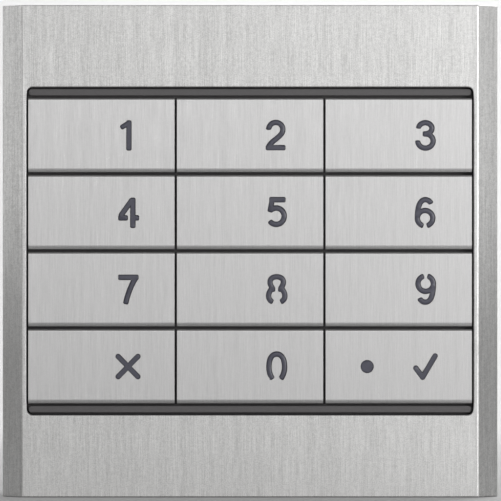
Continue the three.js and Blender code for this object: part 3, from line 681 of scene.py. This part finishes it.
def legend_solids(key, growth, front, rear):
    """Every stroke of a key's legend as a prism, grown by some millimetres on all sides, on its key."""
    middle = KEY_MIDDLE[key] * [1, 0, 1]
    outlines = []
    for number, line in enumerate(LEGENDS[key]):
        half = NARROW.get((key, number), STROKE) / 2 + growth
        joined_ends = JOINED.get((key, number), "")
        corner, reach = (half * 0.999, half) if key in ROUND_ENDED else (STROKE_CORNER + growth, growth)
        corners = [JOINED_CORNER if end in joined_ends else corner for end in ("start", "end")]
        reaches = [[0 if end in joined_ends else reach] for end in ("start", "end")]
        ends = np.array([line[0] - line[1], line[-1] - line[-2]])
        ends *= reaches / np.linalg.norm(ends, axis=1, keepdims=True)
        longer = np.concatenate([[line[0] + ends[0]], line[1:-1], [line[-1] + ends[1]]])
        outlines.append(stroke_outline(longer, half, *corners))
    outlines = [outline + [LEGEND_X, LEGEND_Z] for outline in outlines]
    if key == "confirm":
        t = np.linspace(0, 2 * math.pi, 48, endpoint=False)
        window = (STATUS_RADIUS + growth) * np.stack([np.cos(t), np.sin(t)], axis=-1)
        outlines.append(window + [STATUS_X, LEGEND_Z])
    tools = [outline_prism(outline * MM, front, rear) for outline in outlines]
    return [new_mesh("legend_tool", points + middle, faces, merge=1e-9) for points, faces in tools]


# %% [markdown]
# ## Key caps
# A cap is a strip of steel whose top and bottom edges are rolled back through a quarter of an ellipse, the
# top one tightly and the bottom one more gently. Its section is worked out once, in depth and height, and
# carried across the key's width. The legend is then cut right through, and a fine bevel softens every cut
# edge, as tumbling the cut caps does.

# %% Key caps
SHEET = 0.8 * MM
ROLL_DEPTH, ROLL_TOP, ROLL_BOTTOM = 0.5 * MM, 0.42 * MM, 0.8 * MM
INNER_ROLL = 0.12 * MM


def cap_section():
    """Closed section (depth, z): the outer path with two rolled corners, then the inner one back again."""
    half_z, depth = KEY_SIZE[2] / 2, KEY_SIZE[1]
    turn = np.linspace(0, math.pi / 2, 11)

    def half_path(z, front, roll_depth, roll_height):
        """From the rear of an edge, round its quarter ellipse, to where the flat begins."""
        roll = [front + roll_depth * (1 - np.sin(turn)), z - roll_height * (1 - np.cos(turn))]
        return np.concatenate([[[depth, z]], np.stack(roll, axis=-1)])

    def path(z, front, roll_depth, top, bottom):
        lower = half_path(z, front, roll_depth, bottom) * [1, -1]
        return np.concatenate([half_path(z, front, roll_depth, top), lower[::-1]])

    outside = path(half_z, 0, ROLL_DEPTH, ROLL_TOP, ROLL_BOTTOM)
    inside = path(half_z - SHEET, SHEET, INNER_ROLL, INNER_ROLL, INNER_ROLL)
    return np.concatenate([outside, inside[::-1]])


def cap_mesh(key):
    section = cap_section()
    count = len(section)
    x, _, z = KEY_MIDDLE[key]
    half_x = KEY_SIZE[0] / 2
    rows = [
        np.stack([np.full(count, x + side * half_x), FRONT + section[:, 0], z + section[:, 1]], axis=-1)
        for side in (-1, 1)
    ]
    faces = grid_faces(2, count, False, True).tolist()
    ends = [list(range(count)), list(range(2 * count - 1, count - 1, -1))]
    return new_mesh(f"steel_cap_{key}", np.stack(rows), faces + ends)


for key in KEYS:
    cap = place(f"steel_cap_{key}", cap_mesh(key), f"key_{key}", KEY_STEEL, [f"key_cap_{key}"])
    cut_with(cap, *legend_solids(key, 0, FRONT - 1 * MM, FRONT + SHEET + 0.5 * MM))
    round_edges(cap, 0.03 * MM, 2, 50)
    print(cap.name, len(cap.data.polygons), "faces")


# %% [markdown]
# ## Softening the moulded parts
# The housing, the carrier and the sockets already have their true shape in the model. A copy of each is
# merged into one clean skin, its flat areas are cut into few, well-shaped triangles, and its edges get the
# small radius that a moulding tool leaves. Starting from the model keeps every hole in its place. A flat
# isn't left as one large face: with many holes in it, such a face folds over itself when its edges are cut.

# %% Softened copies
FLAT_WITHIN = math.radians(0.5)  # faces closer than this to one plane count as one flat


def softened(node, body, finish, width, segments=2):
    """A clean copy of a model node with rounded edges, standing for it."""
    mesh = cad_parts[node].data.copy()
    mesh.name = f"{node}_moulded"
    work = bmesh.new()
    work.from_mesh(mesh)
    bmesh.ops.remove_doubles(work, verts=work.verts, dist=1e-6)
    bmesh.ops.dissolve_limit(work, angle_limit=FLAT_WITHIN, verts=work.verts, edges=work.edges)
    bmesh.ops.triangulate(work, faces=work.faces, quad_method="BEAUTY", ngon_method="BEAUTY")
    bmesh.ops.recalc_face_normals(work, faces=work.faces)
    work.to_mesh(mesh)
    work.free()
    piece = place(f"{node}_moulded", mesh, body, finish, [node])
    return round_edges(piece, width, segments)


MOULDED = [  # node, finish, material slot, rounding in millimetres
    ("rear_housing", HOUSING_BLACK, "housing_black", 0.22),
    ("key_carrier", CARRIER_GREY, "carrier_grey", 0.12),
    ("window_gasket", RUBBER, "black_rubber", 0.1),
    ("frame_seal", RUBBER, "black_rubber", 0.25),
    ("bus_socket_in", SOCKET_CREAM, "socket_cream", 0.12),
    ("bus_socket_out", SOCKET_CREAM, "socket_cream", 0.12),
    ("terminal_header", TERMINAL_GREEN, "terminal_green", 0.12),
    ("terminal_plug", TERMINAL_GREEN, "terminal_green", 0.12),
    ("setup_socket", SOCKET_CREAM, "socket_cream", 0.1),
    ("service_port", TIN, "spring_steel", 0.1),
    ("relay", RELAY_WHITE, "relay_case", 0.4),
    ("microcontroller", CHIP_BLACK, "chip_black", 0.05),
    ("buzzer", CHIP_BLACK, "chip_black", 0.1),
    ("capacitor", CAN, "capacitor_can", 0.15),
    ("keypad_board", BOARD_GREEN, "board_green", 0.04),
]
for node, finish, slot, width in MOULDED:
    softened(node, "root", finish, width * MM)
for key in KEYS:
    softened(f"key_guide_{key}", f"key_{key}", SMOKED, 0.03 * MM, 1)
for led in [*KEYS, "status"]:
    softened(f"led_{led}", "root", LED_LENS, 0.12 * MM)
print("softened:", len(MOULDED) + 2 * len(KEYS) + 1)


# %% [markdown]
# ## The silicone keymat
# The mat is a thin web with a dome under each key. A dome collapses when its key is pressed, so each dome
# is made as a piece of its own, apart from the web. A dome is a surface of revolution: its profile, in
# radius and depth, goes over the outside and back under the hollow inside.

# %% Keymat web and domes
MAT_LOW, MAT_HIGH = low_high("silicone_keymat")
WEB_THICKNESS = 1.0 * MM
DOME_FOOT, DOME_HEIGHT = 3.0 * MM, 3.35  # the height is the profile's own, before it is fitted to the mat
LED_CLEARANCE = 0.28 * MM


def revolved(profile, centre, sides=40):
    """Points (cx + r cos t, depth, cz + r sin t) for each (r, depth) of a profile and each angle t."""
    t = np.linspace(0, 2 * math.pi, sides, endpoint=False)
    radius, depth = profile[:, 0][:, None], profile[:, 1][:, None]
    x = centre[0] + radius * np.cos(t)
    z = centre[1] + radius * np.sin(t)
    points = np.stack([x, np.broadcast_to(depth, x.shape), z], axis=-1)
    return points, grid_faces(len(profile), sides, False, True).tolist()


def web_mesh():
    outline = rounded_rectangle((MAT_HIGH[0] - MAT_LOW[0]) / 2, (MAT_HIGH[2] - MAT_LOW[2]) / 2, 2 * MM)
    return new_mesh("keymat_web", *outline_prism(outline, MAT_HIGH[1] - WEB_THICKNESS, MAT_HIGH[1]))


def web_holes():
    """A round hole at each dome's foot and a rounded slot over each light."""
    tools = []
    turn = np.linspace(0, 2 * math.pi, 40, endpoint=False)
    circle = DOME_FOOT * np.stack([np.cos(turn), np.sin(turn)], axis=-1)
    for key in KEYS:
        tools.append(circle + KEY_MIDDLE[key][[0, 2]])
    for led in [*KEYS, "status"]:
        low, high = low_high(f"led_{led}")
        half = (high - low)[[0, 2]] / 2 + LED_CLEARANCE
        tools.append(rounded_rectangle(*half, 0.5 * MM, 5) + ((low + high) / 2)[[0, 2]])
    front, rear = MAT_HIGH[1] - 3 * MM, MAT_HIGH[1] + 3 * MM
    points, faces = joined(*[outline_prism(tool, front, rear) for tool in tools])
    return new_mesh("web_tool", points, faces)


web = place("keymat_web", web_mesh(), "root", SILICONE, ["silicone_keymat"])
cut_with(web, web_holes())
round_edges(web, 0.12 * MM)


def dome_profile():
    """From the crown over the shoulder to the foot, then back up inside to the contact nub."""
    top, foot = MAT_LOW[1], MAT_HIGH[1]
    height = foot - top
    outside = [(0, 0), (1.9, 0), (2.15, 0.08), (2.2, 0.3), (2.38, 1.25), (2.95, 2.4), (2.98, DOME_HEIGHT)]
    hollow = [(2.4, DOME_HEIGHT), (2.38, 2.5), (1.9, 1.4), (1.75, 1.32)]
    nub = [(1.05, 1.32), (1.0, 1.45), (1.0, 2.55), (0, 2.65)]
    return np.array(outside + hollow + nub) * [MM, height / DOME_HEIGHT] + [0, top]


for key in KEYS:
    name = f"keymat_dome_{key}"
    mesh = new_mesh(name, *revolved(dome_profile(), KEY_MIDDLE[key][[0, 2]]))
    dome = place(name, mesh, "root", SILICONE, ["silicone_keymat"])
    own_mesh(dome)
print("keymat: web and", len(KEYS), "domes")


# %% [markdown]
# ## Screws, clips and contacts at the back
# Seen from behind, the reader shows what holds it and what plugs into it. The screws are turned profiles
# with a cross cut in, the clips are bent strips, and the pins and levers are small repeated solids made
# from one box function that narrows a block's far end.

# %% Housing screws
def screw_mesh(node):
    """A pan head, domed towards the back, on a plain shank: one profile from tip to crown."""
    low, high = low_high(node)
    centre = ((low + high) / 2)[[0, 2]]
    head, shank = (high[0] - low[0]) / 2, 1.4 * MM
    seat = high[1] - 2.2 * MM
    arc_t = np.linspace(0, math.pi / 2, 9)
    crown = np.stack([head * np.cos(arc_t) ** 0.6, seat + 0.9 * MM + 1.3 * MM * np.sin(arc_t)], axis=-1)
    tip = [(0, low[1]), (shank - 0.6 * MM, low[1]), (shank, low[1] + 0.6 * MM)]
    shaft = np.array(tip + [(shank, seat), (head, seat)])
    points, faces = revolved(np.concatenate([shaft, crown]), centre)
    return new_mesh(f"{node}_turned", points, faces), centre, high[1]


def cross_tools(centre, crown):
    """Two blocks that cross, for the driver's recess. One tool that crossed itself would cut everything."""
    tools = []
    for half_x, half_z in ((1.6 * MM, 0.4 * MM), (0.4 * MM, 1.6 * MM)):
        arm = np.array([[1, 1], [-1, 1], [-1, -1], [1, -1]]) * [half_x, half_z] + centre
        tools.append(new_mesh("cross_tool", *outline_prism(arm, crown - 1.1 * MM, crown + 1 * MM)))
    return tools


for number in range(1, 5):
    node = f"housing_screw_{number}"
    mesh, centre, crown = screw_mesh(node)
    screw = place(f"{node}_turned", mesh, "root", SPRING_STEEL, [node])
    cut_with(screw, *cross_tools(centre, crown))
    round_edges(screw, 0.08 * MM)
print("screws: 4")


# %% Retaining clips
def rounded_path(points, radius, steps=7):
    """A path whose inner corners are replaced by quadratic curves that start and end a radius away."""
    t = np.linspace(0, 1, steps)[:, None]
    run = [points[:1]]
    for before, corner, after in zip(points[:-2], points[1:-1], points[2:]):
        start = corner + (before - corner) * min(radius / np.linalg.norm(before - corner), 0.45)
        end = corner + (after - corner) * min(radius / np.linalg.norm(after - corner), 0.45)
        run.append((1 - t) ** 2 * start + 2 * (1 - t) * t * corner + t**2 * end)
    return np.concatenate(run + [points[-1:]])


def clip_mesh(side):
    """A strip of constant thickness along a bent path (x, depth), carried up through the clip's height."""
    low, high = low_high("retaining_clip_right")
    sheet, inner = 0.55 * MM, low[0] + 0.02 * MM
    depths = np.array([24, 19.6, 13.7, 11.55]) * MM + FRONT
    offsets = np.array([0, 0, 2.2, 0.95]) * MM
    line = rounded_path(np.stack([inner + offsets + sheet / 2, depths], axis=-1), 1.1 * MM)
    outline = stroke_outline(line, sheet / 2, 0.12 * MM, 0.12 * MM)
    rings = [np.stack([side * outline[:, 0], outline[:, 1], np.full(len(outline), z)], axis=-1)
             for z in (low[2], high[2])]
    count = len(outline)
    ends = [list(range(count)), list(range(2 * count - 1, count - 1, -1))]
    return new_mesh("clip", np.stack(rings), grid_faces(2, count, False, True).tolist() + ends)


for name, side in (("left", -1), ("right", 1)):
    clip = place(f"spring_clip_{name}", clip_mesh(side), "root", SPRING_STEEL,
                 [f"retaining_clip_{name}"])
    round_edges(clip, 0.08 * MM)
print("clips: 2")


# %% Pins, levers and the label
def tapered_block(x, z, half_x, half_z, front, rear, taper=0.0):
    """A block along Y whose rear 0.4 mm narrows by taper: three rings of four corners."""
    shape = np.array([[1, 1], [-1, 1], [-1, -1], [1, -1]])
    rings = []
    for y, shrink in ((front, 0), (rear - 0.4 * MM * (taper > 0), 0), (rear, taper)):
        corners = shape * [half_x - shrink, half_z - shrink]
        rings.append(np.stack([x + corners[:, 0], np.full(4, y), z + corners[:, 1]], axis=-1))
    faces = grid_faces(3, 4, False, True).tolist() + [[0, 1, 2, 3], [11, 10, 9, 8]]
    return np.concatenate(rings), faces


def block_set(name, blocks, finish, width):
    """One piece made of many small blocks."""
    piece = place(name, new_mesh(name, *joined(*blocks), merge=1e-8), "root", finish)
    return round_edges(piece, width)


for name in ("bus_socket_in", "bus_socket_out"):
    low, high = low_high(name)
    x, _, z = (low + high) / 2
    depths = high[1] - 8.5 * MM, high[1] - 2 * MM
    pins = [
        tapered_block(x + (column - 3) * 2.0 * MM, z + row * MM, 0.25 * MM, 0.25 * MM, *depths, 0.15 * MM)
        for column in range(7)
        for row in (-1, 1)
    ]
    block_set(f"{name}_pins", pins, GOLD, 0.03 * MM)

PLUG_LOW, PLUG_HIGH = low_high("terminal_plug")
plug_x, _, plug_z = (PLUG_LOW + PLUG_HIGH) / 2
ways = [plug_z + (way - 3.5) * 3.81 * MM for way in range(8)]
lever_depths = PLUG_HIGH[1] - 2.9 * MM, PLUG_HIGH[1] - 0.4 * MM
levers = [
    tapered_block(plug_x + 2.9 * MM, z, 1.05 * MM, 0.95 * MM, *lever_depths, 0.15 * MM) for z in ways
]
block_set("terminal_levers", levers, LEVER_ORANGE, 0.08 * MM)

PORT_LOW, PORT_HIGH = low_high("service_port")
port_x, _, port_z = (PORT_LOW + PORT_HIGH) / 2
tongue_depths = PORT_HIGH[1] - 5.9 * MM, PORT_HIGH[1] - 1.2 * MM
tongue = tapered_block(port_x, port_z, 2.6 * MM, 0.45 * MM, *tongue_depths, 0.1 * MM)
block_set("service_port_tongue", [tongue], CHIP_BLACK, 0.05 * MM)

label = rounded_rectangle(12.7 * MM, 5.7 * MM, 0.8 * MM) + [0, -13 * MM]
label_mesh = new_mesh("rating_label", *outline_prism(label, BACK - 0.28 * MM, BACK - 0.12 * MM))
round_edges(place("rating_label", label_mesh, "root", LABEL_FOIL), 0.03 * MM)
print("pins, levers, tongue and label made")


# %% [markdown]
# ## The studio
# Brushed metal shows nothing but its surroundings, so the studio is part of the finish. A large panel behind
# the camera fills the flat front, and a small one just above the lens makes the upper keys brighter than the
# lower ones. The bevels look straight to the left and right, so each has a panel of its own beside it, whose
# lower edge ends near the reader's middle: below it the bevels fall off into shade. The floor is pale but
# not white, because light thrown up from it would brighten the lowest keys. A panel of its own lights the
# paper behind the reader. No panel is seen by the camera, and the paper is clear from its back, so that a
# camera behind or below it sees the reader.

# %% Floor, lights and world
WALL_Y, WALL_TOP = 0.6, 2.5
SWEEP_REACH = 3.0  # how far the floor goes to the front and to each side
SWEEP_RADIUS = 0.25


def sweep_mesh():
    """A floor that curves up into a wall, facing the reader: a path in Y and Z carried across X."""
    floor_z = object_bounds()[0][2] - 0.05 * MM
    t = np.linspace(0, math.pi / 2, 24)
    bend_y = WALL_Y - SWEEP_RADIUS + SWEEP_RADIUS * np.sin(t)
    bend = np.stack([bend_y, floor_z + SWEEP_RADIUS * (1 - np.cos(t))], axis=-1)
    path = np.concatenate([[[-SWEEP_REACH, floor_z]], bend, [[WALL_Y, WALL_TOP]]])
    sides = (-SWEEP_REACH, SWEEP_REACH)
    rows = [np.stack([np.full(len(path), x), path[:, 0], path[:, 1]], axis=-1) for x in sides]
    mesh = new_mesh("sweep", np.stack(rows), grid_faces(2, len(path)))
    mesh.flip_normals()
    return mesh


paper = Finish("paper", 0.0, 0.8)
paper.shaded((0.62, 0.62, 0.62), paper.effect(GRAIN, "Shade", Grains_per_metre=40.0), 0.01)
sweep = bpy.data.objects.new("sweep", sweep_mesh())
sweep.data.materials.append(paper.material)
bpy.context.scene.collection.objects.link(sweep)


def clear_from_behind(finish):
    """Mixes the finish with a clear shader, which takes over on the back of each face."""
    nodes, links = finish.tree.nodes, finish.tree.links
    mix = nodes.new("ShaderNodeMixShader")
    links.new(nodes.new("ShaderNodeNewGeometry").outputs["Backfacing"], mix.inputs[0])
    links.new(finish.shader.outputs[0], mix.inputs[1])
    links.new(nodes.new("ShaderNodeBsdfTransparent").outputs[0], mix.inputs[2])
    links.new(mix.outputs[0], nodes["Material Output"].inputs["Surface"])


clear_from_behind(paper)


def soft_light(name, location, target, size, watts):
    """A square area light aimed at a point."""
    data = bpy.data.lights.new(name, "AREA")
    data.size, data.energy = size, watts
    light = bpy.data.objects.new(name, data)
    light.location = location
    aim = np.array(target, dtype=float) - np.array(location, dtype=float)
    light.rotation_euler = Vector(aim).to_track_quat("-Z", "Y").to_euler()
    light.visible_camera = False
    bpy.context.scene.collection.objects.link(light)


CENTRE = (0.0, float(FRONT), 0.0)
PANELS = [  # name, place, target, size in metres, watts
    ("front_panel", (0.0, FRONT - 1.3, 0.15), CENTRE, 1.0, 2.75),
    ("near_panel", (0.0, FRONT - 0.5, 0.16), CENTRE, 0.2, 0.042),
    ("right_panel", (0.28, FRONT - 0.4, 0.06), CENTRE, 0.18, 0.72),
    ("left_bevel_panel", (-0.14, FRONT, 0.097), (0, FRONT, 0.097), 0.2, 0.068),
    ("right_bevel_panel", (0.14, FRONT, 0.097), (0, FRONT, 0.097), 0.2, 0.065),
    ("paper_panel", (0.0, 0.42, 0.4), (0, WALL_Y, 0.08), 0.2, 1.35),
    ("rear_panel", (0.3, 0.5, 0.45), (0, 0, 0), 0.3, 2.0),
]
for panel in PANELS:
    soft_light(*panel)

world = bpy.data.worlds.new("studio")
world.use_nodes = True
world.node_tree.nodes["Background"].inputs["Color"].default_value = (1.0, 1.0, 1.0, 1.0)
world.node_tree.nodes["Background"].inputs["Strength"].default_value = 0.25
bpy.context.scene.world = world
print("studio ready:", len(PANELS), "panels")
